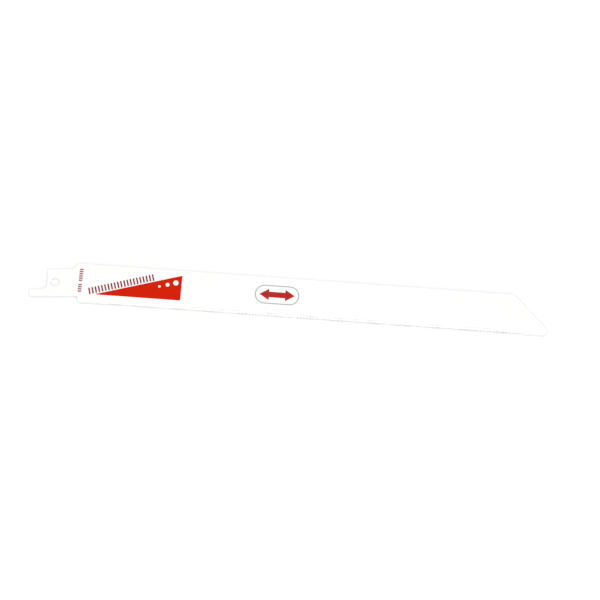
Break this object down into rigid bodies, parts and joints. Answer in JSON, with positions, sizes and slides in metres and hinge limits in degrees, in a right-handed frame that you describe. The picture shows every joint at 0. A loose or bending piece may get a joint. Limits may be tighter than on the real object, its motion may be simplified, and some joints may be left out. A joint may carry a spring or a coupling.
{
  "type": "reciprocating saw blade",
  "caption": "Reciprocating saw blade for metal: half-inch universal shank with a hole, white painted steel body canted towards its fine wavy-set teeth, and a sloped nose.",
  "frame": {"origin": "centre of the shank's hole, halfway through the strip", "axes": "+X along the saw's stroke from the shank to the nose, +Y from the teeth to the back edge, +Z out of the printed side"},
  "size_m": [0.228, 0.0335, 0.0012],
  "materials": {
    "white_paint": "satin",
    "ground_steel": "milled",
    "red_ink": "satin",
    "maroon_ink": "satin",
    "grey_ink": "satin",
    "white_ink": "satin"
  },
  "bodies": {
    "root": {"saw_blade": "white_paint"}
  },
  "joints": []
}
